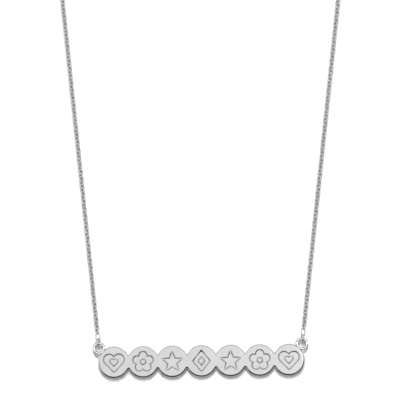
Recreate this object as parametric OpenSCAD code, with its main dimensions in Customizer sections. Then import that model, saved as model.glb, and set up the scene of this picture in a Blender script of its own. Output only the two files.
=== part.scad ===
// Nameplate necklace: a row of joined discs with sunk marks, hung by two soldered
// eyelets from a fine cable chain that closes round the neck with a ring clasp.
// +Z is up, the front of the nameplate faces -Y, and the origin is the middle of the
// neck at the height where the chain crosses its sides.

/* [Nameplate] */
// Number of joined discs
disc_count = 7; // [3:2:9]
// Diameter of each disc
disc_d = 6.5; // [6:0.1:8]
// How far each disc runs into its neighbour
disc_lap = 0.52; // [0.3:0.02:1.2]
// Thickness of the nameplate
plate_t = 1; // [0.8:0.05:1.6]
// Rounding of the front edge
front_round = 0.45; // [0.1:0.05:0.5]
// Rounding of the back edge
back_round = 0.15; // [0.05:0.05:0.25]
// How far out of level the nameplate hangs, in degrees
hang_tilt = 0.9; // [-3:0.1:3]

/* [Marks] */
// Height of each sunk mark
mark_size = 4.2; // [3:0.1:4.6]
// Size of the raised middle of a mark beside the mark
mark_middle = 0.4; // [0.3:0.02:0.6]
// Depth of the marks
mark_depth = 0.3; // [0.1:0.05:0.5]

/* [Eyelets] */
// Diameter of the hole in each eyelet
eyelet_hole = 1.52; // [1.4:0.02:2.2]
// Thickness of the eyelet wire
eyelet_wire = 0.54; // [0.44:0.02:0.7]
// How deep the eyelet wire is let into the rim of its disc
eyelet_sink = 0.36; // [0.3:0.02:0.5]
// Direction of the left eyelet from the middle of its disc, in degrees above level
left_eyelet_angle = 44; // [30:1:60]
// Direction of the right eyelet from the middle of its disc, in degrees above level
right_eyelet_angle = 50; // [30:1:60]

/* [Rings and links] */
// Wire of the jump rings
ring_wire = 0.36; // [0.3:0.01:0.42]
// How far the jump rings at the eyelets are turned from square to the nameplate, in degrees
ring_turn = 9; // [0:1:15]
// Wire of the end links
link_wire = 0.26; // [0.22:0.01:0.28]
// Width of the end links
link_w = 1; // [0.98:0.02:1.3]
// Length of the end links
link_l = 1.9; // [1.6:0.02:2.4]
// Gap between pieces that hang in each other
play = 0.1; // [0.06:0.01:0.14]

/* [Chain] */
// Width of the chain over its links
chain_d = 1; // [0.8:0.05:1.4]
// Lean of each chain from upright, in degrees
chain_angle = 6; // [3:0.5:9]
// Straight run of each chain, from the middle of its eyelet
straight_len = 73.5; // [50:0.5:110]

/* [Neck loop] */
// Width of the neck opening
neck_w = 96; // [88:1:120]
// Depth of the neck opening behind the middle of the neck
neck_back = 45; // [40:1:60]
// How far in front of the middle of the neck the nameplate hangs
front_reach = 47; // [42:1:60]
// How far the nameplate hangs below the origin
drop = 94; // [80:1:150]
// How far the chain climbs to the nape
nape_rise = 14; // [5:1:30]
// How far the chain keeps its upward course after the straight run
collar_lead = 14; // [8:1:26]
// How far the chain runs level along the side of the neck
side_lead = 22; // [12:1:34]

/* [Clasp] */
// Outer diameter of the ring clasp
clasp_d = 5.4; // [4.6:0.1:7]
// Thickness of the ring clasp
clasp_wire = 1.1; // [0.9:0.05:1.3]
// Hole of the clasp's fixed eye
eye_hole = 1; // [0.9:0.05:1.4]
// Wire of the clasp's fixed eye
eye_wire = 0.5; // [0.4:0.02:0.6]
// How deep the eye is let into the clasp
eye_sink = 0.35; // [0.2:0.05:0.4]
// Diameter of the thumb knob
knob_d = 0.7; // [0.5:0.05:0.9]
// How far the thumb knob stands out of the clasp
knob_h = 0.6; // [0.3:0.05:1]

/* [Hidden] */
$fn = 48;

LEFT = -1;
RIGHT = 1;
silver = "silver";

// Nameplate: its discs stand in a row along X, about its own middle.
disc_pitch = disc_d - disc_lap;
row_half = disc_pitch * (disc_count - 1) / 2;
plate_centre = [0, -front_reach, -drop];

// Eyelets, flush with the front of the plate, each out from its end disc.
eyelet_ahead = (plate_t - eyelet_wire) / 2;
eyelet_out = disc_d / 2 + eyelet_hole / 2 + eyelet_wire - eyelet_sink;
function eyelet_angle(side) = side == LEFT ? left_eyelet_angle : right_eyelet_angle;
function eyelet_spot(side) = [side * (row_half + eyelet_out * cos(eyelet_angle(side))),
                              -eyelet_ahead, eyelet_out * sin(eyelet_angle(side))];

function tilted(p) = [p.x * cos(hang_tilt) - p.z * sin(hang_tilt), p.y,
                      p.x * sin(hang_tilt) + p.z * cos(hang_tilt)];
function eyelet_centre(side) = plate_centre + tilted(eyelet_spot(side));

// A chain end hangs on a wire that is held at a distance from a base point. The jump
// ring and the end link follow it along the chain, each with some play.
// Its values are base point, angle from upright, held distance, held wire and turn of the ring.
nape = [0, neck_back + chain_d / 2, nape_rise];
clasp_reach = (clasp_d - clasp_wire) / 2;
eye_centre = clasp_d / 2 + eye_hole / 2 + eye_wire - eye_sink;
eye_reach = eye_centre + (eye_hole + eye_wire) / 2;
function front_end(side) = [eyelet_centre(side), side * chain_angle,
                            (eyelet_hole + eyelet_wire) / 2, eyelet_wire, side * ring_turn];
function nape_end(side) = side == LEFT ? [nape, -90, eye_reach, eye_wire, 0]
                                       : [nape, 90, clasp_reach, clasp_wire, 0];

function ring_bore(end) = end[3] + link_wire + 3 * play;
function ring_place(end) = end[2] - end[3] / 2 - play + ring_bore(end) / 2;
function link_place(end) = end[2] + end[3] / 2 + play + link_l / 2;
function chain_place(end) = link_place(end) + link_l / 2 + play;
function along(end, distance) = end[0] + distance * [sin(end[1]), 0, cos(end[1])];

// Chain route: the straight run, a bend over the collar to the side of the neck, and
// a quarter oval, tilted up towards the nape.
straight_steps = 4;
collar_steps = 14;
neck_steps = 20;
neck_x = (neck_w + chain_d) / 2;

function bezier(a, b, c, d, t) =
    pow(1 - t, 3) * a + 3 * pow(1 - t, 2) * t * b + 3 * (1 - t) * t * t * c + pow(t, 3) * d;
function straight_run(side) =
    let (end = front_end(side), first = chain_place(end))
    [for (i = [0 : straight_steps - 1])
        along(end, first + (straight_len - first) * i / straight_steps)];
function collar_bend(side) =
    let (end = front_end(side),
         start = along(end, straight_len),
         climb = nape.z / nape.y,
         level = [0, 1, climb] / norm([0, 1, climb]),
         stop = [side * neck_x, 0, 0])
    [for (i = [0 : collar_steps - 1])
        bezier(start, along(end, straight_len + collar_lead),
               stop - side_lead * level, stop, i / collar_steps)];
function neck_oval(side) =
    let (end = nape_end(side), last = abs(along(end, chain_place(end)).x))
    [for (i = [0 : neck_steps])
        let (turn = 90 * i / neck_steps)
        [side * (last + (neck_x - last) * cos(turn)), nape.y * sin(turn), nape.z * sin(turn)]];
function route(side) = concat(straight_run(side), collar_bend(side), neck_oval(side));

// The swept chain has eight sides. At each point one side faces away from the neck.
chain_sides = 8;
function unit(v) = v / norm(v);
function heading(points, i) =
    unit(points[min(i + 1, len(points) - 1)] - points[max(i - 1, 0)]);
function sweep_ring(centre, ahead) =
    let (across = unit(cross(ahead, [centre.x, centre.y, 0])), away = cross(across, ahead))
    [for (k = [0 : chain_sides - 1])
        let (turn = 360 * (k + 0.5) / chain_sides)
        centre + chain_d / 2 * (cos(turn) * away + sin(turn) * across)];

module swept_chain(points) {
    last = len(points) - 1;
    rings = [for (i = [0 : last]) each sweep_ring(points[i], heading(points, i))];
    walls = [for (i = [0 : last - 1], k = [0 : chain_sides - 1])
        let (a = i * chain_sides + k,
             b = i * chain_sides + (k + 1) % chain_sides,
             c = b + chain_sides,
             d = a + chain_sides)
        each [[a, d, c], [a, c, b]]];
    start_cap = [for (k = [0 : chain_sides - 1]) k];
    end_cap = [for (k = [chain_sides - 1 : -1 : 0]) last * chain_sides + k];
    polyhedron(points = rings, faces = concat(walls, [start_cap, end_cap]));
}

// A round wire hoop about the Z axis.
module hoop(bore, wire) {
    rotate_extrude() translate([(bore + wire) / 2, 0]) circle(d = wire);
}

// A long link in the XZ plane, with half-round ends and straight sides.
module long_link(length, width, wire) {
    bend = (width - wire) / 2;
    side_len = length - width;
    for (end = [0, 180])
        rotate([0, end, 0]) translate([0, 0, side_len / 2]) rotate([90, 0, 0])
            rotate_extrude(angle = 180) translate([bend, 0]) circle(d = wire);
    for (side = [LEFT, RIGHT])
        translate([side * bend, 0, -side_len / 2]) cylinder(d = wire, h = side_len);
}

// Stands a child at a distance along a chain end, with +Z along the chain.
module on_end(end, distance) {
    translate(along(end, distance)) rotate([0, end[1], 0]) children();
}

module jump_ring(end) {
    color(silver) on_end(end, ring_place(end)) rotate([0, 90, end[4]])
        hoop(ring_bore(end), ring_wire);
}

module end_link(end) {
    color(silver) on_end(end, link_place(end)) long_link(link_l, link_w, link_wire);
}

// One disc, front face towards -Y, with rounded front and back edges.
module disc() {
    r = disc_d / 2;
    rotate([90, 0, 0]) translate([0, 0, -plate_t / 2]) rotate_extrude() {
        translate([0, back_round]) square([r, plate_t - front_round - back_round]);
        square([r - back_round, back_round]);
        translate([0, plate_t - front_round]) square([r - front_round, front_round]);
        translate([r - front_round, plate_t - front_round])
            intersection() { circle(front_round); square(front_round); }
        translate([r - back_round, back_round])
            intersection() { circle(back_round); translate([0, -back_round]) square(back_round); }
    }
}

// Marks are drawn upright, with their height along Y. Lengths are shares of mark_size.
module star_mark() {
    tip = 0.53 * mark_size;
    notch = 0.24 * mark_size;
    points = 5;
    polygon([for (i = [0 : 2 * points - 1])
        let (r = i % 2 == 0 ? tip : notch, turn = 90 + 180 * i / points)
        [r * cos(turn), r * sin(turn) - 0.03 * mark_size]]);
}

module flower_mark() {
    petals = 5;
    petal_r = 0.2 * mark_size;
    petal_out = 0.31 * mark_size;
    difference() {
        union() {
            circle(petal_out);
            for (i = [0 : petals - 1])
                rotate(90 + 360 * i / petals) translate([petal_out, 0]) circle(petal_r);
        }
        circle(0.13 * mark_size);
    }
}

// A heart whose sides run tangent from its lobes to the tip.
module heart_shape() {
    lobe_x = 0.235 * mark_size;
    lobe_y = 0.13 * mark_size;
    lobe_r = 0.27 * mark_size;
    tip = 0.5 * mark_size;
    lean = atan2(lobe_x, lobe_y + tip) + asin(lobe_r / norm([lobe_x, lobe_y + tip]));
    touch = [lobe_x + lobe_r * cos(lean), lobe_y - lobe_r * sin(lean)];
    for (side = [LEFT, RIGHT]) translate([side * lobe_x, lobe_y]) circle(lobe_r);
    polygon([[0, -tip], touch, [lobe_x, lobe_y], [-lobe_x, lobe_y], [-touch.x, touch.y]]);
}

module lozenge_shape() {
    half_w = 0.43 * mark_size;
    half_h = 0.53 * mark_size;
    polygon([[half_w, 0], [0, half_h], [-half_w, 0], [0, -half_h]]);
}

// Leaves the middle of a mark raised.
module with_middle() {
    difference() {
        children();
        scale(mark_middle) children();
    }
}

// The marks mirror each other about the middle disc.
module mark(i) {
    from_middle = abs(i - floor(disc_count / 2)) % 4;
    if (from_middle == 0) with_middle() lozenge_shape();
    if (from_middle == 1) star_mark();
    if (from_middle == 2) flower_mark();
    if (from_middle == 3) with_middle() heart_shape();
}

module nameplate() {
    cut_over = 1;
    color(silver) translate(plate_centre) rotate([0, -hang_tilt, 0]) difference() {
        union() {
            for (i = [0 : disc_count - 1])
                translate([i * disc_pitch - row_half, 0, 0]) disc();
            for (side = [LEFT, RIGHT])
                translate(eyelet_spot(side)) rotate([90, 0, 0])
                    hoop(eyelet_hole, eyelet_wire);
        }
        for (i = [0 : disc_count - 1])
            translate([i * disc_pitch - row_half, mark_depth - plate_t / 2, 0])
                rotate([90, 0, 0]) linear_extrude(mark_depth + cut_over) mark(i);
    }
}

module chain(side) {
    color(silver) swept_chain(route(side));
}

// A plain ring clasp, flat against the neck, with its fixed eye to the left.
module clasp() {
    knob_turn = 40;
    color(silver) translate(nape) rotate([90, 0, 0]) {
        hoop(clasp_d - 2 * clasp_wire, clasp_wire);
        translate([-eye_centre, 0, 0]) hoop(eye_hole, eye_wire);
        rotate([0, 0, knob_turn]) translate([clasp_reach, 0, 0]) rotate([0, 90, 0])
            cylinder(d = knob_d, h = clasp_wire / 2 + knob_h);
    }
}

nameplate();
jump_ring(front_end(LEFT));  // ring_left
jump_ring(front_end(RIGHT));  // ring_right
end_link(front_end(LEFT));  // end_link_left
end_link(front_end(RIGHT));  // end_link_right
chain(LEFT);  // chain_left
chain(RIGHT);  // chain_right
end_link(nape_end(LEFT));  // nape_link_left
end_link(nape_end(RIGHT));  // nape_link_right
jump_ring(nape_end(LEFT));  // nape_ring_left
jump_ring(nape_end(RIGHT));  // nape_ring_right
clasp();
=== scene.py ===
"""Nameplate necklace in polished and satin silver.

Models the necklace on its packed frame: a bar of joined discs with sunk marks and two soldered
eyelets, jump rings and long end links, cable chain on both sides and the ring clasp at the nape.
Pieces are shaped in millimetres and set in place in metres.
"""

import math

import bmesh
import bpy
from mathutils import Matrix, Vector


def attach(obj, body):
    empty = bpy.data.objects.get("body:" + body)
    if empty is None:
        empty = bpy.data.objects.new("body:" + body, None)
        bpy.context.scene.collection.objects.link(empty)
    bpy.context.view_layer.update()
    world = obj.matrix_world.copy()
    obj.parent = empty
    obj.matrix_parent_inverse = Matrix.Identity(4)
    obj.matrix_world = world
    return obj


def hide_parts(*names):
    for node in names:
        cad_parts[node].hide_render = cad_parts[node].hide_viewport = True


bl_info = {
    "name": "Nameplate Necklace",
    "version": (1, 0, 0),
    "blender": (4, 5, 0),
    "location": "View3D > Sidebar > Necklace",
    "description": "Models a silver nameplate necklace on its packed frame",
    "category": "Object",
}

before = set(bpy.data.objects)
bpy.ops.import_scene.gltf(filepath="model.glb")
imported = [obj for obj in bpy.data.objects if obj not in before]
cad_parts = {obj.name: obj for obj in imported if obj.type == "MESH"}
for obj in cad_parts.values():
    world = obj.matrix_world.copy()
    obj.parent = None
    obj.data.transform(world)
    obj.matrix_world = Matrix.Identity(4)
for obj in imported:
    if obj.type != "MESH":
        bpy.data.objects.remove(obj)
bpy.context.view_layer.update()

MM = 0.001
NEAR = 1e-4  # Millimetres. Places that are closer than this are the same.
LEFT, RIGHT = -1, 1
SIDES = {"left": LEFT, "right": RIGHT}


def length(name, description, default):
    """A length property in metres."""
    return bpy.props.FloatProperty(name=name, description=description, default=default,
                                   min=0, unit="LENGTH", precision=5)


def height(name, description, default):
    """A height above the frame's origin, in metres, which may be below it."""
    return bpy.props.FloatProperty(name=name, description=description, default=default,
                                   unit="LENGTH", precision=5)


def strength(name, description, default):
    """The strength of a light."""
    return bpy.props.FloatProperty(name=name, description=description, default=default, min=0)


def share(name, description, default):
    """A property between nought and one."""
    return bpy.props.FloatProperty(name=name, description=description, default=default,
                                   min=0, max=1, subtype="FACTOR")


def colour(name, description, default):
    """A colour property."""
    return bpy.props.FloatVectorProperty(name=name, description=description, default=default,
                                         size=3, min=0, max=1, subtype="COLOR")


def angle(name, description, degrees):
    """An angle property."""
    return bpy.props.FloatProperty(name=name, description=description,
                                   default=math.radians(degrees), unit="ROTATION")


# Sizes and colours.

class PlateSizes(bpy.types.PropertyGroup):
    """Sizes of the bar of discs, its marks and its eyelets."""
    disc_count: bpy.props.IntProperty(name="Discs", description="Number of joined discs",
                                      default=7)
    disc_d: length("Disc diameter", "Diameter of each disc", 0.0065)
    disc_lap: length("Disc lap", "How far each disc runs into its neighbour", 0.00052)
    thickness: length("Thickness", "Thickness of the nameplate", 0.001)
    front_round: length("Front rounding", "Rounding of the front edge", 0.00048)
    back_round: length("Back rounding", "Rounding of the back edge", 0.00015)
    notch_round: length("Notch rounding", "Rounding at the foot of each notch", 0.00024)
    tilt: angle("Tilt", "How far out of level the nameplate hangs", 0.9)
    centre: bpy.props.FloatVectorProperty(name="Centre", description="Middle of the nameplate",
                                          default=(0, -0.047, -0.094), unit="LENGTH",
                                          precision=5)
    mark_size: length("Mark height", "Height of each sunk mark", 0.0042)
    mark_depth: length("Mark depth", "Depth of the marks", 0.0003)
    mark_draft: length("Mark draft", "How far the walls of the marks lean in", 0.00028)
    mark_corner: length("Mark corners", "Rounding of the corners of the marks", 0.00026)
    eyelet_hole: length("Eyelet hole", "Diameter of the hole in each eyelet", 0.00152)
    eyelet_wire: length("Eyelet wire", "Thickness of the eyelet wire", 0.00054)
    eyelet_sink: length("Eyelet sink", "How deep the eyelet is let into its disc", 0.00036)
    left_eyelet: angle("Left eyelet", "Direction of the left eyelet above level", 44)
    right_eyelet: angle("Right eyelet", "Direction of the right eyelet above level", 50)


class ChainSizes(bpy.types.PropertyGroup):
    """Sizes of the rings, the end links and the chain, and its course round the neck."""
    ring_wire: length("Ring wire", "Wire of the jump rings", 0.00036)
    ring_turn: angle("Ring turn", "How far the front rings are turned from square to the plate", 9)
    end_wire: length("End link wire", "Wire of the end links", 0.00026)
    end_width: length("End link width", "Width of the end links", 0.001)
    end_length: length("End link length", "Length of the end links", 0.0019)
    play: length("Play", "Gap between pieces that hang in each other", 0.0001)
    link_wire: length("Link wire", "Wire of the chain links", 0.00029)
    link_width: length("Link width", "Width of the chain links", 0.0012)
    link_length: length("Link length", "Length of the chain links", 0.00136)
    link_gap: length("Link gap", "Gap between links that hang in each other", 0.00002)
    link_turn: angle("Link turn", "How far the links are turned about the chain", 45)
    first_turn: angle("First turn", "How far the first link of each chain is turned", 25)
    chain_d: length("Chain width", "Width of the chain over its links", 0.001)
    lean: angle("Lean", "Lean of each chain from upright", 6)
    straight: length("Straight run", "Straight run of each chain from its eyelet", 0.0735)
    neck_w: length("Neck width", "Width of the neck opening", 0.096)
    neck_back: length("Neck depth", "Depth of the opening behind the middle of the neck", 0.045)
    nape_rise: length("Nape rise", "How far the chain climbs to the nape", 0.014)
    collar_lead: length("Collar lead", "How far the chain keeps its course over the collar", 0.014)
    side_lead: length("Side lead", "How far the chain runs level at the side of the neck", 0.022)


class ClaspSizes(bpy.types.PropertyGroup):
    """Sizes of the ring clasp."""
    diameter: length("Diameter", "Outer diameter of the ring clasp", 0.0054)
    wire: length("Wire", "Thickness of the ring clasp", 0.0011)
    eye_hole: length("Eye hole", "Hole of the fixed eye", 0.001)
    eye_wire: length("Eye wire", "Wire of the fixed eye", 0.0005)
    eye_sink: length("Eye sink", "How deep the eye is let into the clasp", 0.00035)
    knob_d: length("Knob diameter", "Diameter of the thumb knob", 0.0007)
    knob_h: length("Knob height", "How far the thumb knob stands out", 0.0006)
    knob_round: length("Knob rounding", "Rounding of the thumb knob", 0.00021)
    knob_turn: angle("Knob turn", "Where the thumb knob stands on the clasp", 40)


class SilverLooks(bpy.types.PropertyGroup):
    """Colours and finish of the silver."""
    silver: colour("Silver", "Colour of the polished metal", (0.94, 0.94, 0.945))
    tarnish: colour("Tarnish", "Colour of this metal where it is dull", (0.84, 0.84, 0.845))
    edge: colour("Edge", "Colour of the edges of the plate", (0.76, 0.76, 0.765))
    edge_dull: colour("Dull edge", "Colour of these edges where they are dull", (0.6, 0.6, 0.605))
    wire: colour("Wire", "Colour of the chain, its end links and the rings", (0.77, 0.77, 0.775))
    wire_dull: colour("Dull wire", "Colour of the wire where it is dull", (0.56, 0.56, 0.565))
    # Painted shade: the eyelets' sides get this dark colour, and their darkest parts a darker one,
    # to stand in for the shade along the eyelets' outline and inside their holes.
    recess: colour("Recess", "Colour of the sides of the eyelets", (0.36, 0.36, 0.365))
    eyelet_shade_deep: colour("Dull recess", "Colour of these sides where they are darkest",
                        (0.26, 0.26, 0.265))
    satin: colour("Satin", "Colour of the satin faces", (0.82, 0.82, 0.825))
    satin_dull: colour("Dull satin", "Colour of the satin faces where they are dull",
                       (0.42, 0.42, 0.425))
    shade: colour("Shade", "Colour of the walls of the marks", (0.66, 0.66, 0.665))
    shade_deep: colour("Deep shade", "Colour of these walls where they are darkest",
                       (0.5, 0.5, 0.505))
    satin_rough: share("Satin roughness", "Roughness of the satin faces", 0.3)
    edge_rough: share("Edge roughness", "Roughness of the edges of the plate", 0.18)
    wire_rough: share("Wire roughness", "Roughness of the wire", 0.36)
    polish_rough: share("Polish roughness", "Roughness of the polished metal", 0.14)
    grain: length("Grain", "Size of the satin grain", 0.00024)
    clouding: length("Clouding", "Size of the broad dull patches", 0.004)
    grain_share: share("Grain share", "How much of the dulling follows the grain", 0.75)


class StageLooks(bpy.types.PropertyGroup):
    """The stage, with its floor, its white cards, its light and the camera."""
    paper: colour("Paper", "Colour of the floor and the cards", (0.95, 0.95, 0.95))
    floor_z: height("Floor height", "Height of the floor", -0.1)
    floor_size: length("Floor size", "Width of the floor", 6)
    card_gap: length("Card gap", "Gap from the back of the plate to the cards", 0.0003)
    plate_card_width: length("Plate card width", "Width of the card behind the plate", 0.048)
    plate_card_top: height("Plate card top", "Upper edge of the card behind the plate", -0.0912)
    eyelet_card_width: length("Eyelet card width", "Width of each eyelet's card", 0.0028)
    eyelet_card_shift: length("Eyelet card shift", "How far it stands out from the eyelet", 0.0006)
    eyelet_card_top: height("Eyelet card top", "Upper edge of the eyelets' cards", -0.0896)
    chain_card_width: length("Chain card width", "Width of each chain's card", 0.006)
    chain_card_foot: length("Chain card foot", "Where it starts along the chain", 0.0033)
    chain_card_end: length("Chain card end", "Where it ends along the chain", 0.0725)
    key: strength("Key light", "Strength of the key light", 3.16)
    key_lean: angle("Key lean", "How far the key light leans to the front", 52)
    key_aside: angle("Key turn", "How far the key light comes from the right", -2)
    key_softness: angle("Key softness", "Angular width of the key light", 24)
    fill: strength("Fill lights", "Strength of the fill light from each side", 0.75)
    fill_lean: angle("Fill lean", "How far the fill lights lean to the front", 44)
    fill_aside: angle("Fill turn", "How far each fill light comes from its side", 78)
    top: strength("Top light", "Strength of the light on the floor", 1.4)
    soft: angle("Fill softness", "Angular width of the fill lights and the top light", 60)
    studio: strength("Studio", "Strength of the white surroundings", 1.1)
    window: share("Window", "How much the bright window on the left shows", 0.45)
    side: strength("Side light", "Strength of the small side light", 0.1)
    side_size: length("Side light size", "Width of the small side light", 0.06)
    side_place: bpy.props.FloatVectorProperty(name="Side light place", description="Its place",
                                              default=(0.13, -0.35, -0.09), unit="LENGTH",
                                              precision=4)
    frame_height: length("Frame height", "Height of the picture at the plate", 0.082)
    camera_away: length("Camera distance", "Distance from the camera to the plate", 0.7)
    camera_near: length("Camera start", "Where the camera's view starts", 0.01)
    aim: bpy.props.FloatVectorProperty(name="Aim", description="What the camera looks at",
                                       default=(-0.0003, -0.047, -0.06103), unit="LENGTH",
                                       precision=5)


GROUPS = {
    "necklace_plate": PlateSizes,
    "necklace_chain": ChainSizes,
    "necklace_clasp": ClaspSizes,
    "necklace_silver": SilverLooks,
    "necklace_stage": StageLooks,
}


# Shader maths.

class Value:
    """An output socket in Python's arithmetic. Each operation adds its Math node."""

    def __init__(self, sheet, socket):
        self.sheet = sheet
        self.socket = socket

    def math(self, operation, first, second):
        """A Math node over two values or numbers."""
        return self.sheet.node("ShaderNodeMath", {"operation": operation}, {0: first, 1: second})

    def __add__(self, other):
        return self.math("ADD", self, other)

    __radd__ = __add__

    def __sub__(self, other):
        return self.math("SUBTRACT", self, other)

    def __rsub__(self, other):
        return self.math("SUBTRACT", other, self)

    def __mul__(self, other):
        return self.math("MULTIPLY", self, other)

    __rmul__ = __mul__


class Sheet:
    """A node tree that is written from nothing."""

    def __init__(self, tree):
        self.tree = tree
        tree.nodes.clear()

    def node(self, kind, settings=None, sockets=None, output=0):
        """Adds a node, sets it, links or fills its sockets, and returns one output."""
        node = self.tree.nodes.new(kind)
        for name, setting in (settings or {}).items():
            if name == "stops":
                self.set_stops(node.color_ramp.elements, setting)
            else:
                setattr(node, name, setting)
        for name, value in (sockets or {}).items():
            if isinstance(value, Value):
                self.tree.links.new(value.socket, node.inputs[name])
            else:
                node.inputs[name].default_value = value
        return Value(self, node.outputs[output]) if len(node.outputs) else node

    def set_stops(self, elements, stops):
        """Gives a ramp its stops, each a position and a grey."""
        while len(elements) < len(stops):
            elements.new(1)
        for element, (position, grey) in zip(elements, stops):
            element.position = position
            element.color = (grey, grey, grey, 1)

    def ramp(self, value, stops):
        """A ramp of greys over a value."""
        return self.node("ShaderNodeValToRGB", {"stops": stops}, {"Fac": value})

    def blend(self, mask, first, second):
        """A colour that goes from first to second with the mask."""
        return self.node("ShaderNodeMix", {"data_type": "RGBA"},
                         {"Factor": mask, 6: first, 7: second}, 2)

    def smoothstep(self, value, start, stop):
        """A mask that rises softly from start to stop."""
        return self.node("ShaderNodeMapRange", {"interpolation_type": "SMOOTHSTEP"},
                         {"Value": value, "From Min": start, "From Max": stop})

    def noise(self, place, size, detail=2.0, roughness=0.5):
        """Noise with features of about a size in metres."""
        return self.node("ShaderNodeTexNoise", None,
                         {"Vector": place, "Scale": 1 / size, "Detail": detail,
                          "Roughness": roughness})


def paint(tone):
    """A colour as a colour socket takes it."""
    return (*tone, 1)


# Each finish: its bright and dull colours, its roughness, the size of its grain against the
# satin's, and how deep the grain is against the satin grain's size.
FINISHES = {
    "satin_silver": ("satin", "satin_dull", "satin_rough", 1, 0.02),
    "shaded_silver": ("shade", "shade_deep", "satin_rough", 1, 0.02),
    # Painted shade on the sides of the eyelets.
    "recess_silver": ("recess", "eyelet_shade_deep", "satin_rough", 2, 0.01),
    "edge_silver": ("edge", "edge_dull", "edge_rough", 2, 0.01),
    "drawn_silver": ("wire", "wire_dull", "wire_rough", 2, 0.01),
    "polished_silver": ("silver", "tarnish", "polish_rough", 2, 0.006),
}


def silver(name):
    """A silver whose colour, gloss and surface vary finely at the size of its grain."""
    material = bpy.data.materials.get(name)
    if material:
        return material
    bright, dull, rough, grain, dent = FINISHES[name]
    looks = bpy.context.scene.necklace_silver
    roughness = getattr(looks, rough)
    spread = 0.2 * roughness
    material = bpy.data.materials.new(name)
    material.use_nodes = True
    sheet = Sheet(material.node_tree)
    place = sheet.node("ShaderNodeTexCoord", output="Object")
    fine = sheet.noise(place, looks.grain * grain, detail=3, roughness=0.6)
    broad = sheet.noise(place, looks.clouding)
    wear = fine * looks.grain_share + broad * (1 - looks.grain_share)
    bump = sheet.node("ShaderNodeBump", None,
                      {"Strength": 1.0, "Distance": looks.grain * dent, "Height": fine})
    shader = sheet.node("ShaderNodeBsdfPrincipled", None, {
        "Base Color": sheet.blend(wear, paint(getattr(looks, dull)),
                                  paint(getattr(looks, bright))),
        "Metallic": 1.0,
        "Roughness": roughness - spread / 2 + wear * spread,
        "Normal": bump,
    })
    sheet.node("ShaderNodeOutputMaterial", None, {"Surface": shader})
    return material


# Modelling tools.

def focus(piece):
    """Selects one piece alone."""
    bpy.ops.object.select_all(action="DESELECT")
    piece.select_set(True)
    bpy.context.view_layer.objects.active = piece


def edit(piece, element="FACE"):
    """Opens a piece in edit mode with nothing selected."""
    focus(piece)
    bpy.ops.object.mode_set(mode="EDIT")
    bpy.ops.mesh.select_mode(type=element)
    bpy.ops.mesh.select_all(action="DESELECT")


def settle(piece):
    """Moves a piece's place into its mesh, so that its object sits at the origin."""
    focus(piece)
    bpy.ops.object.transform_apply(location=True, rotation=True, scale=True)
    return piece


def close():
    """Leaves edit mode."""
    bpy.ops.object.mode_set(mode="OBJECT")


def pick(piece, kind, test):
    """Selects what passes a test among the piece's verts, edges or faces."""
    mesh = bmesh.from_edit_mesh(piece.data)
    mesh.normal_update()
    for element in getattr(mesh, kind):
        element.select_set(test(element))
    mesh.select_flush_mode()
    bmesh.update_edit_mesh(piece.data)


def at_height(z):
    """A test for edges or faces that lie at a height."""
    return lambda element: all(abs(v.co.z - z) < NEAR for v in element.verts)


def prism(radius, depth, location=(0, 0, 0), sides=64):
    """An upright prism with its sides on a circle."""
    bpy.ops.object.select_all(action="DESELECT")
    bpy.ops.mesh.primitive_cylinder_add(vertices=sides, radius=radius, depth=depth,
                                        location=location)
    return settle(bpy.context.object)


def hoop(bore, wire, location=(0, 0, 0), around=64, across=16):
    """A wire ring that lies flat."""
    bpy.ops.object.select_all(action="DESELECT")
    bpy.ops.mesh.primitive_torus_add(major_segments=around, minor_segments=across,
                                     major_radius=(bore + wire) / 2, minor_radius=wire / 2,
                                     location=location)
    return settle(bpy.context.object)


def combine(piece, tool, operation):
    """Adds a tool to a piece or cuts it away, and deletes the tool."""
    focus(piece)
    bpy.ops.object.modifier_add(type="BOOLEAN")
    boolean = piece.modifiers[-1]
    boolean.object = tool
    boolean.operation = operation
    boolean.solver = "EXACT"
    bpy.ops.object.modifier_apply(modifier=boolean.name)
    bpy.data.meshes.remove(tool.data)


def merge_flats(piece, degrees=0.2):
    """Joins the parts of each face that is flat up to an angle."""
    edit(piece)
    bpy.ops.mesh.select_all(action="SELECT")
    bpy.ops.mesh.dissolve_limited(angle_limit=math.radians(degrees))
    close()


def bevel(piece, test, offset, steps):
    """Bevels the edges of a piece that pass a test."""
    edit(piece, "EDGE")
    pick(piece, "edges", test)
    bpy.ops.mesh.bevel(offset=offset, segments=steps, affect="EDGES", clamp_overlap=False)
    close()


def round_uprights(piece, offset, convex=True, steps=5, sharp=20):
    """Rounds the outer or the inner corners of a prism, from a distance before each corner.

    A corner is an upright edge whose faces meet at more than the angle sharp, in degrees.
    """
    bevel(piece, lambda edge: edge.calc_face_angle(0) > math.radians(sharp)
          and abs(edge.verts[0].co.z - edge.verts[1].co.z) > NEAR
          and edge.is_convex == convex, offset, steps)


def smooth(piece, degrees=30):
    """Shades a piece smooth up to an angle, with flat faces kept flat."""
    focus(piece)
    bpy.ops.object.shade_smooth_by_angle(angle=math.radians(degrees))
    bpy.ops.object.modifier_add(type="WEIGHTED_NORMAL")
    piece.modifiers[-1].keep_sharp = True
    bpy.ops.object.modifier_apply(modifier=piece.modifiers[-1].name)


def finish(piece, node, place, body, materials):
    """Sets a piece that was shaped in millimetres in the place of its node in the frame."""
    piece.name = piece.data.name = f"{node}_dressed"
    piece.matrix_world = place @ Matrix.Diagonal((MM, MM, MM, 1))
    settle(piece)
    for material in materials:
        piece.data.materials.append(silver(material))
    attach(piece, body)
    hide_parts(node)


def turned(degrees, axis):
    """A turn as a matrix."""
    return Matrix.Rotation(math.radians(degrees), 4, axis)


# Places, in millimetres, as the frame has them.

def mm(group):
    """The lengths of a property group in millimetres, by name."""
    sizes = {}
    for name in group.bl_rna.properties.keys():
        if name in group.__annotations__:
            value = getattr(group, name)
            unit = group.bl_rna.properties[name].unit
            sizes[name] = value / MM if unit == "LENGTH" and isinstance(value, float) else value
    return sizes


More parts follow.
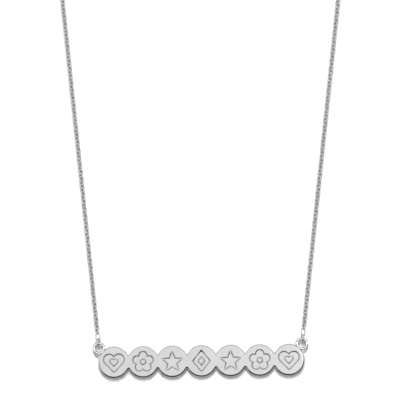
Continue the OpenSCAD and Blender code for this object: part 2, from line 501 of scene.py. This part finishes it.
def eyelet_spot(side):
    """The middle of an eyelet on the flat plate, flush with the plate's front."""
    p = mm(bpy.context.scene.necklace_plate)
    out = p["disc_d"] / 2 + p["eyelet_hole"] / 2 + p["eyelet_wire"] - p["eyelet_sink"]
    row_half = (p["disc_d"] - p["disc_lap"]) * (p["disc_count"] - 1) / 2
    turn = p["left_eyelet"] if side == LEFT else p["right_eyelet"]
    return Vector((side * (row_half + out * math.cos(turn)), out * math.sin(turn),
                   (p["thickness"] - p["eyelet_wire"]) / 2))


def plate_place():
    """The matrix that stands the flat plate upright, tilted, in its place."""
    plate = bpy.context.scene.necklace_plate
    tilt = Matrix.Rotation(-plate.tilt, 4, "Y")
    return Matrix.Translation(Vector(plate.centre)) @ tilt @ turned(90, "X")


class ChainEnd:
    """Where a chain begins: a base point, a direction and the wire that holds its ring."""

    def __init__(self, base, degrees, reach, held, ring_turn=0.0):
        c = mm(bpy.context.scene.necklace_chain)
        self.base = base
        self.ring_stand = Matrix.Rotation(ring_turn, 4, "Z") @ turned(90, "Y")
        self.turn = turned(degrees, "Y")
        # The ring holds both wires, with a gap between them and one outside each.
        self.bore = held + c["end_wire"] + 3 * c["play"]
        self.ring_place = reach - held / 2 - c["play"] + self.bore / 2
        self.link_place = reach + held / 2 + c["play"] + c["end_length"] / 2
        self.chain_place = self.link_place + c["end_length"] / 2 + c["play"]

    def along(self, distance):
        """A point on the chain's line, in millimetres."""
        return self.base + self.turn @ Vector((0, 0, distance))

    def place(self, distance, turn):
        """The matrix of a piece on the chain's line, in metres."""
        return Matrix.Translation(self.along(distance) * MM) @ self.turn @ turn


def nape():
    """The middle of the clasp."""
    c = mm(bpy.context.scene.necklace_chain)
    return Vector((0, c["neck_back"] + c["chain_d"] / 2, c["nape_rise"]))


def front_end(side):
    """The end of a chain at its eyelet."""
    p = mm(bpy.context.scene.necklace_plate)
    centre = plate_place() @ (eyelet_spot(side) * MM) / MM
    chain = bpy.context.scene.necklace_chain
    return ChainEnd(centre, side * math.degrees(chain.lean),
                    (p["eyelet_hole"] + p["eyelet_wire"]) / 2, p["eyelet_wire"],
                    side * chain.ring_turn)


def clasp_eye_out():
    """How far the middle of the clasp's eye lies from the middle of the clasp."""
    k = mm(bpy.context.scene.necklace_clasp)
    return k["diameter"] / 2 + k["eye_hole"] / 2 + k["eye_wire"] - k["eye_sink"]


def nape_end(side):
    """The end of a chain at the clasp: its eye on the left, its ring on the right."""
    k = mm(bpy.context.scene.necklace_clasp)
    if side == RIGHT:
        return ChainEnd(nape(), 90, (k["diameter"] - k["wire"]) / 2, k["wire"])
    reach = clasp_eye_out() + (k["eye_hole"] + k["eye_wire"]) / 2
    return ChainEnd(nape(), -90, reach, k["eye_wire"])


def bezier(a, b, c, d, t):
    """A point on the smooth curve from a to d that is drawn towards b and c."""
    return (1 - t) ** 3 * a + 3 * (1 - t) ** 2 * t * b + 3 * (1 - t) * t * t * c + t ** 3 * d


# How many points the chain's course has on its straight run, over the collar and round the neck.
STRAIGHT_POINTS, COLLAR_POINTS, NECK_POINTS = 40, 80, 120


def chain_route(side):
    """The chain's course from its first link to its last, as close points."""
    c = mm(bpy.context.scene.necklace_chain)
    front, back = front_end(side), nape_end(side)
    neck_x = (c["neck_w"] + c["chain_d"]) / 2
    top = nape()
    level = Vector((0, 1, top.z / top.y)).normalized()
    side_point = Vector((side * neck_x, 0, 0))
    start, lead = front.along(c["straight"]), front.along(c["straight"] + c["collar_lead"])
    first = front.along(front.link_place)
    last_x = abs(back.along(back.chain_place).x)
    points = [first.lerp(start, i / STRAIGHT_POINTS) for i in range(STRAIGHT_POINTS)]
    points += [bezier(start, lead, side_point - c["side_lead"] * level, side_point,
                      i / COLLAR_POINTS) for i in range(COLLAR_POINTS)]
    for i in range(NECK_POINTS + 1):
        turn = math.radians(90 * i / NECK_POINTS)
        points.append(Vector((side * (last_x + (neck_x - last_x) * math.cos(turn)),
                              top.y * math.sin(turn), top.z * math.sin(turn))))
    points.append(back.along(back.link_place))
    return points


# Marks. Each outline goes round to the left, grown outwards by a distance.

def arc(x, y, radius, start, stop, steps):
    """Points on an arc, both ends included. Its angles are in degrees."""
    turns = [math.radians(start + (stop - start) * i / steps) for i in range(steps + 1)]
    return [(x + radius * math.cos(turn), y + radius * math.sin(turn)) for turn in turns]


def lozenge_outline(size, grow):
    """An upright lozenge."""
    half_w, half_h = 0.43 * size, 0.53 * size
    scale = 1 + grow * math.hypot(half_w, half_h) / (half_w * half_h)
    return [(half_w * scale, 0), (0, half_h * scale), (-half_w * scale, 0), (0, -half_h * scale)]


def star_outline(size, grow):
    """A five-pointed star."""
    tip, notch, low, corners = 0.53 * size, 0.24 * size, 0.03 * size, 10
    step = math.radians(360 / corners)
    side_length = math.sqrt(tip ** 2 + notch ** 2 - 2 * tip * notch * math.cos(step))
    scale = 1 + grow * side_length / (tip * notch * math.sin(step))
    points = []
    for i in range(corners):
        reach = scale * (notch if i % 2 else tip)
        turn = math.pi / 2 + i * step
        points.append((reach * math.cos(turn), reach * math.sin(turn) - low))
    return points


def flower_outline(size, grow):
    """A flower of five round petals."""
    out, petal, petals = 0.31 * size, 0.2 * size + grow, 5
    step = 360 / petals
    meet = math.acos(out * math.sin(math.radians(step / 2)) / petal)
    spread = 90 + step / 2 - math.degrees(meet)
    points = []
    for i in range(petals):
        turn = (i + 0.5) * step - 90
        x, y = out * math.cos(math.radians(turn)), out * math.sin(math.radians(turn))
        points += arc(x, y, petal, turn - spread, turn + spread, steps=16)[:-1]
    return points


def eye_outline(size, grow):
    """The round middle of the flower."""
    return arc(0, 0, 0.13 * size + grow, -90, 270, steps=40)[:-1]


def heart_outline(size, grow):
    """A heart whose sides run tangent from its lobes to the tip."""
    lobe_x, lobe_y, lobe_r, tip = 0.235 * size, 0.13 * size, 0.27 * size, 0.5 * size
    lean = math.atan2(lobe_x, lobe_y + tip) + math.asin(
        lobe_r / math.hypot(lobe_x, lobe_y + tip))
    radius = lobe_r + grow
    dip = math.degrees(math.acos(-lobe_x / radius))
    lobe = arc(lobe_x, lobe_y, radius, -math.degrees(lean), dip, steps=24)
    mirrored = [(-x, y) for x, y in reversed(lobe[:-1])]
    return [(0, -tip - grow / math.sin(lean)), *lobe, *mirrored]


# Each mark from the middle disc outwards: its outline, the outline of its raised middle, and the
# size of that beside the mark.
MARKS = {
    "lozenge": (lozenge_outline, lozenge_outline, 0.4),
    "star": (star_outline, None, 0),
    "flower": (flower_outline, eye_outline, 1),
    "heart": (heart_outline, heart_outline, 0.4),
}


def outlined_prism(outline, height):
    """A prism over an outline, standing on height 0."""
    piece = prism(1, height, (0, 0, height / 2), len(outline))
    before_foot = math.pi / 2 + 0.01  # Both rings are counted from a little before the foot.
    for z in (0, height):
        ring = [v for v in piece.data.vertices if abs(v.co.z - z) < NEAR]
        ring.sort(key=lambda v: (math.atan2(v.co.y, v.co.x) + before_foot) % math.tau)
        for v, point in zip(ring, outline):
            v.co.xy = point
    return piece


def taper(tool, depth, draft):
    """Sinks the lower face of a prism by a depth and draws it in by the draft."""
    edit(tool)
    pick(tool, "faces", at_height(0))
    bpy.ops.mesh.inset(thickness=draft, depth=depth, use_even_offset=True)
    close()


def mark_tool(kind):
    """The cutter of one mark: its mouth is at height 0, its floor below.

    It stands over the mouth by a height. The part that is cut from it, to leave the middle of the
    mark standing, is longer than the mark is deep by a spare length at each end.
    """
    p = mm(bpy.context.scene.necklace_plate)
    size, corner = p["mark_size"], p["mark_corner"]
    depth, draft = p["mark_depth"], p["mark_draft"]
    over, spare = 0.6, 0.1
    outline, middle, share_of_mark = MARKS[kind]
    tool = outlined_prism(outline(size, draft / 2), over)
    taper(tool, depth, draft)
    round_uprights(tool, corner)
    if middle:
        slope = draft / depth
        foot = draft / 2 + spare * slope
        island = outlined_prism(middle(share_of_mark * size, foot), over)
        taper(island, depth + 2 * spare, (depth + 2 * spare) * slope)
        round_uprights(island, corner / 2)
        island.matrix_world = Matrix.Translation((0, 0, -depth - spare)) @ turned(180, "Y")
        combine(tool, settle(island), "DIFFERENCE")
    return tool


def cut_marks(plate):
    """Cuts the marks into the front, mirrored about the middle disc."""
    p = mm(bpy.context.scene.necklace_plate)
    pitch = p["disc_d"] - p["disc_lap"]
    middle = p["disc_count"] // 2
    for i in range(p["disc_count"]):
        tool = mark_tool(list(MARKS)[abs(i - middle) % len(MARKS)])
        tool.location = ((i - middle) * pitch, 0, p["thickness"] / 2)
        combine(plate, settle(tool), "DIFFERENCE")


# Operators.

PLATE_FINISHES = ["satin_silver", "edge_silver", "shaded_silver", "polished_silver",
                  "recess_silver"]


class NECKLACE_OT_nameplate(bpy.types.Operator):
    """Model the bar of joined discs with its marks and eyelets"""
    bl_idname = "necklace.nameplate"
    bl_label = "Nameplate"

    def execute(self, context):
        p = mm(context.scene.necklace_plate)
        pitch = p["disc_d"] - p["disc_lap"]
        half_t = p["thickness"] / 2
        middle = p["disc_count"] // 2
        plate = prism(p["disc_d"] / 2, p["thickness"], (-middle * pitch, 0, 0))
        for i in range(1, p["disc_count"]):
            disc = prism(p["disc_d"] / 2, p["thickness"], ((i - middle) * pitch, 0, 0))
            combine(plate, disc, "UNION")
        merge_flats(plate)
        round_uprights(plate, p["notch_round"], convex=False, steps=8)
        for z, offset, steps in ((half_t, p["front_round"], 7), (-half_t, p["back_round"], 3)):
            bevel(plate, at_height(z), offset, steps)
        for side in (LEFT, RIGHT):
            combine(plate, hoop(p["eyelet_hole"], p["eyelet_wire"], eyelet_spot(side), across=24),
                    "UNION")
        cut_marks(plate)
        smooth(plate)
        faces = sort_faces(plate)
        finish(plate, "nameplate", plate_place(), "nameplate", PLATE_FINISHES)
        plate.data.polygons.foreach_set("material_index", faces)
        return {"FINISHED"}


def sort_faces(plate):
    """Which of the plate's finishes each face has.

    Flat faces are satin, and so are the floors of the marks. The marks' walls are shaded, the
    crest of the eyelets is polished and their sides get a dark colour, which is painted shade. The
    rest are edges.
    """
    satin, edge, shaded, polished, recess = range(len(PLATE_FINISHES))
    level, crest, flat = 0.9999, 0.86, 0.97  # How squarely a face looks forward or back.
    p = mm(bpy.context.scene.necklace_plate)
    past_rim, inside_rim = 0.502 * p["disc_d"], 0.4 * p["disc_d"]
    pitch = p["disc_d"] - p["disc_lap"]
    half_row = pitch * (p["disc_count"] - 1) / 2
    floor = p["thickness"] / 2 - p["mark_depth"]
    finishes = []
    for polygon in plate.data.polygons:
        x, y, z = polygon.center
        disc = min(max(round((x + half_row) / pitch), 0), p["disc_count"] - 1)
        reach = math.hypot(x + half_row - disc * pitch, y)
        facing = abs(polygon.normal.z)
        if reach > past_rim or (facing < level and on_eyelet(polygon.center)):
            # The eyelets' sides take the dark finish, which is painted shade.
            finishes.append(polished if facing > crest else recess)
        elif facing > flat:
            finishes.append(satin)
        else:
            finishes.append(shaded if reach < inside_rim and z > floor else edge)
    return finishes


def on_eyelet(point, within=0.02):
    """Whether a point of the flat plate lies on the surface of an eyelet's wire."""
    p = mm(bpy.context.scene.necklace_plate)
    for side in (LEFT, RIGHT):
        away = point - eyelet_spot(side)
        ring_off = math.hypot(away.x, away.y) - (p["eyelet_hole"] + p["eyelet_wire"]) / 2
        if abs(math.hypot(ring_off, away.z) - p["eyelet_wire"] / 2) < within:
            return True
    return False


class NECKLACE_OT_rings(bpy.types.Operator):
    """Model the jump rings in the eyelets and at the clasp"""
    bl_idname = "necklace.rings"
    bl_label = "Jump rings"

    def execute(self, context):
        wire = mm(context.scene.necklace_chain)["ring_wire"]
        for name, side in SIDES.items():
            for node, end in (("ring", front_end(side)), ("nape_ring", nape_end(side))):
                ring = hoop(end.bore, wire, around=48)
                cut_seam(ring, wire)
                smooth(ring, degrees=60)
                finish(ring, f"{node}_{name}", end.place(end.ring_place, end.ring_stand),
                       "necklace", ["drawn_silver"])
        return {"FINISHED"}


def cut_seam(ring, wire):
    """Cuts the fine groove where a ring of wire is closed."""
    half_width, depth = 0.04 * wire, 0.06 * wire

    def at_seam(v):
        return v.co.x > 0 and abs(v.co.y) < NEAR

    bevel(ring, lambda edge: all(at_seam(v) for v in edge.verts), half_width, steps=2)
    edit(ring, "VERT")
    pick(ring, "verts", at_seam)
    bpy.ops.transform.shrink_fatten(value=-depth)
    close()


def long_link(width, length_over, wire, around, across):
    """A long link that lies flat along X: a hoop whose halves are drawn apart."""
    link = hoop(width - 2 * wire, wire, around=around, across=across)
    for side in (LEFT, RIGHT):
        edit(link, "VERT")
        pick(link, "verts", lambda v: side * v.co.x > NEAR)
        bpy.ops.transform.translate(value=(side * (length_over - width) / 2, 0, 0))
        close()
    return link


# A link that lies along X is stood along the chain, in the plane of the eyelets.
STAND_LINK = Matrix(((0, 1, 0, 0), (0, 0, 1, 0), (1, 0, 0, 0), (0, 0, 0, 1)))


class NECKLACE_OT_end_links(bpy.types.Operator):
    """Model the long last link at each end of the chain"""
    bl_idname = "necklace.end_links"
    bl_label = "End links"

    def execute(self, context):
        c = mm(context.scene.necklace_chain)
        for name, side in SIDES.items():
            for node, end in (("end_link", front_end(side)), ("nape_link", nape_end(side))):
                link = long_link(c["end_width"], c["end_length"], c["end_wire"],
                                 around=30, across=14)
                smooth(link, degrees=60)
                finish(link, f"{node}_{name}", end.place(end.link_place, STAND_LINK),
                       "necklace", ["drawn_silver"])
        return {"FINISHED"}


class NECKLACE_OT_chain(bpy.types.Operator):
    """Hang the linked chain on both sides"""
    bl_idname = "necklace.chain"
    bl_label = "Chain"

    def execute(self, context):
        c = mm(context.scene.necklace_chain)
        pitch = c["link_length"] - 2 * c["link_wire"] - c["link_gap"]
        inner_end = c["end_length"] / 2 - c["end_wire"]
        margin = inner_end - c["link_gap"] - c["link_wire"] + c["link_length"] / 2
        link = long_link(c["link_width"], c["link_length"], c["link_wire"], around=10, across=5)
        smooth(link, degrees=80)
        for name, side in SIDES.items():
            links = []
            for place in link_places(chain_route(side), margin, pitch):
                copy = link.copy()
                copy.data = link.data.copy()
                copy.matrix_world = place
                context.collection.objects.link(copy)
                links.append(copy)
            bpy.ops.object.select_all(action="DESELECT")
            for copy in links:
                copy.select_set(True)
            context.view_layer.objects.active = links[0]
            bpy.ops.object.join()
            finish(settle(context.object), f"chain_{name}", Matrix.Identity(4), "necklace",
                   ["drawn_silver"])
        bpy.data.meshes.remove(link.data)
        return {"FINISHED"}


def angle_to_up(heading, across):
    """The turn about a heading that brings a direction across it upright."""
    flat = across - heading * across.dot(heading)
    up = Vector((0, 0, 1))
    return math.atan2(flat.cross(up).dot(heading), flat.dot(up))


def nearest(turn, other, period):
    """The turn, give or take whole periods, that lies nearest to another."""
    return other + (turn - other + period / 2) % period - period / 2


def link_places(points, margin, pitch):
    """The matrix of each link on a course, in millimetres, from margin to margin.

    The course starts and ends in the middle of an end link. Neighbours stand square to each
    other. The first link stands nearly square to its end link, the last is square to its own, and
    between them the links are turned half-way to the viewer along the straight run and half-way
    up at the side of the neck.
    """
    chain = bpy.context.scene.necklace_chain
    steps = [(b - a).length for a, b in zip(points, points[1:])]
    total = sum(steps)
    count = round((total - 2 * margin) / pitch)
    spacing = (total - 2 * margin) / count
    places, walked, k = [], 0.0, 0
    heading = (points[1] - points[0]).normalized()
    across = Vector((0, 1, 0)).cross(heading).normalized()
    for i in range(count + 1):
        at = margin + i * spacing
        while k < len(steps) - 1 and walked + steps[k] < at:
            walked += steps[k]
            k += 1
        ahead = (points[k + 1] - points[k]).normalized()
        across = heading.rotation_difference(ahead) @ across
        heading = ahead
        centre = points[k].lerp(points[k + 1], (at - walked) / steps[k])
        places.append((centre, heading.copy(), across.copy()))
    same_heading, square, link_turn = 0.01, math.radians(90), chain.link_turn
    straight = sum(place[1].angle(places[0][1]) < same_heading for place in places) - 1
    widest = max(range(count + 1), key=lambda i: abs(places[i][0].x))
    side_turn = nearest(angle_to_up(*places[widest][1:]) + link_turn, link_turn, square)
    last_turn = nearest(angle_to_up(*places[-1][1:]) + square * (1 - count % 2), side_turn,
                        2 * square)
    turns = [(0, chain.first_turn), (1, link_turn), (straight, link_turn), (widest, side_turn),
             (count, last_turn)]
    matrices = []
    for i, (centre, ahead, across) in enumerate(places):
        start, stop = next(pair for pair in zip(turns, turns[1:]) if i <= pair[1][0])
        part = (i - start[0]) / (stop[0] - start[0])
        turn = square * (i % 2 + 1) + start[1] + part * (stop[1] - start[1])
        normal = Matrix.Rotation(turn, 3, ahead) @ ahead.cross(across)
        side = normal.cross(ahead)
        matrix = Matrix((ahead, side, normal)).transposed().to_4x4()
        matrices.append(Matrix.Translation(centre) @ matrix)
    return matrices


class NECKLACE_OT_clasp(bpy.types.Operator):
    """Model the ring clasp with its fixed eye and thumb knob"""
    bl_idname = "necklace.clasp"
    bl_label = "Clasp"

    def execute(self, context):
        k = mm(context.scene.necklace_clasp)
        clasp = hoop(k["diameter"] - 2 * k["wire"], k["wire"], around=72, across=24)
        eye = hoop(k["eye_hole"], k["eye_wire"], (-clasp_eye_out(), 0, 0), around=48)
        combine(clasp, eye, "UNION")
        top = (k["wire"] / 2 + k["knob_h"]) / 2
        knob = prism(k["knob_d"] / 2, 2 * top, sides=32)
        bevel(knob, at_height(top), k["knob_round"], steps=5)
        knob_x = (k["diameter"] - k["wire"]) / 2 + top
        knob.matrix_world = (Matrix.Rotation(k["knob_turn"], 4, "Z")
                             @ Matrix.Translation((knob_x, 0, 0)) @ turned(90, "Y"))
        combine(clasp, settle(knob), "UNION")
        smooth(clasp, degrees=40)
        finish(clasp, "clasp", Matrix.Translation(nape() * MM) @ turned(90, "X"),
               "necklace", ["polished_silver"])
        return {"FINISHED"}


class NECKLACE_OT_stage(bpy.types.Operator):
    """Set the floor, the white cards behind the necklace, the light and the camera"""
    bl_idname = "necklace.stage"
    bl_label = "Stage"

    def execute(self, context):
        looks = context.scene.necklace_stage
        bpy.ops.object.select_all(action="DESELECT")
        bpy.ops.mesh.primitive_plane_add(size=looks.floor_size, location=(0, 0, looks.floor_z))
        floor = context.object
        floor.name = "floor"
        floor.data.materials.append(paper_finish("floor_paper", looks.paper, False))
        floor.visible_glossy = False
        floor.visible_diffuse = False
        plate = context.scene.necklace_plate
        card_y = plate.centre[1] + plate.thickness / 2 + looks.card_gap
        low, top = looks.floor_z, looks.plate_card_top
        cards = [hang_card("plate_card", Vector((0, card_y, (low + top) / 2)),
                           looks.plate_card_width, top - low)]
        for name, side in SIDES.items():
            end = front_end(side)
            low, top = looks.plate_card_top, looks.eyelet_card_top
            eyelet_x = end.along(0).x * MM + side * looks.eyelet_card_shift
            cards.append(hang_card(f"{name}_eyelet_card",
                                   Vector((eyelet_x, card_y, (low + top) / 2)),
                                   looks.eyelet_card_width, top - low))
            foot, stop = looks.chain_card_foot, looks.chain_card_end
            middle = end.along((foot + stop) / 2 / MM) * MM
            middle.y = card_y
            cards.append(hang_card(f"{name}_chain_card", middle, looks.chain_card_width,
                                   stop - foot, side * context.scene.necklace_chain.lean))

        for name, energy, softness, lean, aside in (
                ("key_light", looks.key, looks.key_softness, looks.key_lean, looks.key_aside),
                ("left_fill_light", looks.fill, looks.soft, looks.fill_lean, -looks.fill_aside),
                ("right_fill_light", looks.fill, looks.soft, looks.fill_lean, looks.fill_aside),
                ("top_light", looks.top, looks.soft, 0, 0)):
            bpy.ops.object.light_add(type="SUN", rotation=(lean, aside, 0))
            sun = context.object
            sun.name = name
            sun.data.energy = energy
            sun.data.angle = softness
            sun.visible_glossy = False

        bpy.ops.object.light_add(type="AREA", location=looks.side_place)
        lamp = context.object
        lamp.name = "side_light"
        lamp.rotation_euler = (Vector(looks.side_place)
                               - Vector(plate.centre)).to_track_quat("Z", "Y").to_euler()
        lamp.data.size = looks.side_size
        lamp.data.energy = looks.side

        bpy.ops.object.camera_add(
            location=Vector(looks.aim) - Vector((0, looks.camera_away, 0)),
            rotation=(math.radians(90), 0, 0))
        camera = context.object
        camera.data.lens = camera.data.sensor_width * looks.camera_away / looks.frame_height
        camera.data.clip_start = looks.camera_near
        context.scene.camera = camera
        context.scene.view_settings.view_transform = "Standard"
        set_world(context.scene)
        return {"FINISHED"}


def hang_card(name, middle, width, tall, lean=0.0):
    """A white card that faces the viewer and is seen from the front alone."""
    bpy.ops.object.select_all(action="DESELECT")
    bpy.ops.mesh.primitive_plane_add(size=1, rotation=(math.radians(90), 0, 0), location=middle)
    card = bpy.context.object
    card.name = name
    card.scale = (width, tall, 1)
    card.rotation_euler.y = lean
    settle(card)
    card.data.materials.append(paper_finish(name, bpy.context.scene.necklace_stage.paper, True))
    card.visible_glossy = False
    card.visible_diffuse = False
    card.visible_shadow = False
    return card


def paper_finish(name, tone, one_sided):
    """Matt white paper. A one-sided sheet isn't seen from behind."""
    material = bpy.data.materials.new(name)
    material.use_nodes = True
    sheet = Sheet(material.node_tree)
    place = sheet.node("ShaderNodeTexCoord", output="Object")
    fibre_size, fibre_tone = 0.002, 0.995
    fibre = sheet.noise(place, fibre_size, detail=3)
    tone = Vector(tone)
    shader = sheet.node("ShaderNodeBsdfPrincipled", None, {
        "Base Color": sheet.blend(fibre, paint(tone * fibre_tone), paint(tone)),
        "Roughness": 0.9,
        "Specular IOR Level": 0.0,
    })
    if one_sided:
        behind = sheet.node("ShaderNodeNewGeometry", output="Backfacing")
        clear = sheet.node("ShaderNodeBsdfTransparent")
        shader = sheet.node("ShaderNodeMixShader", None, {0: behind, 1: shader, 2: clear})
    sheet.node("ShaderNodeOutputMaterial", None, {"Surface": shader})
    return material


def set_world(scene):
    """A white studio, as the metal reflects it.

    It is dimmer half-way round, dark below except straight in front, and has a bright window on
    the left. The stops run from straight behind the necklace, at 0, to straight in front, at 1.
    """
    looks = scene.necklace_stage
    low_stops = [(0.0, 0.03), (0.8, 0.03), (0.88, 1.0)]
    high_stops = [(0.0, 1.0), (0.25, 0.9), (0.42, 0.5), (0.6, 0.5), (0.74, 0.85), (0.8, 1.0)]
    rise_stops = [(0.0, 0.4), (0.2, 0.4), (0.3, 0.0)]
    horizon, window_edge, window_full = 0.25, -0.5, -0.95
    white = (1, 1, 1, 1)
    world = bpy.data.worlds.new("studio")
    scene.world = world
    world.cycles_visibility.diffuse = False
    world.use_nodes = True
    sheet = Sheet(world.node_tree)
    direction = sheet.node("ShaderNodeTexCoord", output="Generated")
    sideways, away, height = (sheet.node("ShaderNodeSeparateXYZ", None, {0: direction}, axis)
                              for axis in "XYZ")
    ahead = 0.5 - 0.5 * away
    low, high, rise = (sheet.ramp(ahead, stops) for stops in (low_stops, high_stops, rise_stops))
    upper = sheet.smoothstep(height + rise, -horizon, horizon)
    window = looks.window * sheet.smoothstep(sideways, window_edge, window_full)
    surroundings = sheet.blend(window, sheet.blend(upper, low, high), white)
    seen = sheet.node("ShaderNodeLightPath", output="Is Camera Ray")
    shown = sheet.blend(seen, surroundings, white)
    background = sheet.node("ShaderNodeBackground", None,
                            {"Color": shown, "Strength": looks.studio})
    sheet.node("ShaderNodeOutputWorld", None, {"Surface": background})


class NECKLACE_PT_panel(bpy.types.Panel):
    """Sizes, colours and steps of the necklace"""
    bl_idname = "NECKLACE_PT_panel"
    bl_label = "Nameplate Necklace"
    bl_space_type = "VIEW_3D"
    bl_region_type = "UI"
    bl_category = "Necklace"

    def draw(self, context):
        for name, group in GROUPS.items():
            box = self.layout.box()
            box.label(text=group.__doc__.split(",")[0].rstrip("."))
            for setting in group.__annotations__:
                box.prop(getattr(context.scene, name), setting)
        for step in STEPS:
            self.layout.operator(step.bl_idname)


STEPS = [NECKLACE_OT_nameplate, NECKLACE_OT_rings, NECKLACE_OT_end_links, NECKLACE_OT_chain,
         NECKLACE_OT_clasp, NECKLACE_OT_stage]
CLASSES = [*GROUPS.values(), *STEPS, NECKLACE_PT_panel]


def register():
    for each in CLASSES:
        bpy.utils.register_class(each)
    for name, group in GROUPS.items():
        setattr(bpy.types.Scene, name, bpy.props.PointerProperty(type=group))


def unregister():
    for name in GROUPS:
        delattr(bpy.types.Scene, name)
    for each in reversed(CLASSES):
        bpy.utils.unregister_class(each)


def main():
    """Registers the add-on and runs every step."""
    register()
    for step in STEPS:
        group, name = step.bl_idname.split(".")
        getattr(getattr(bpy.ops, group), name)()


if __name__ == "__main__":
    main()
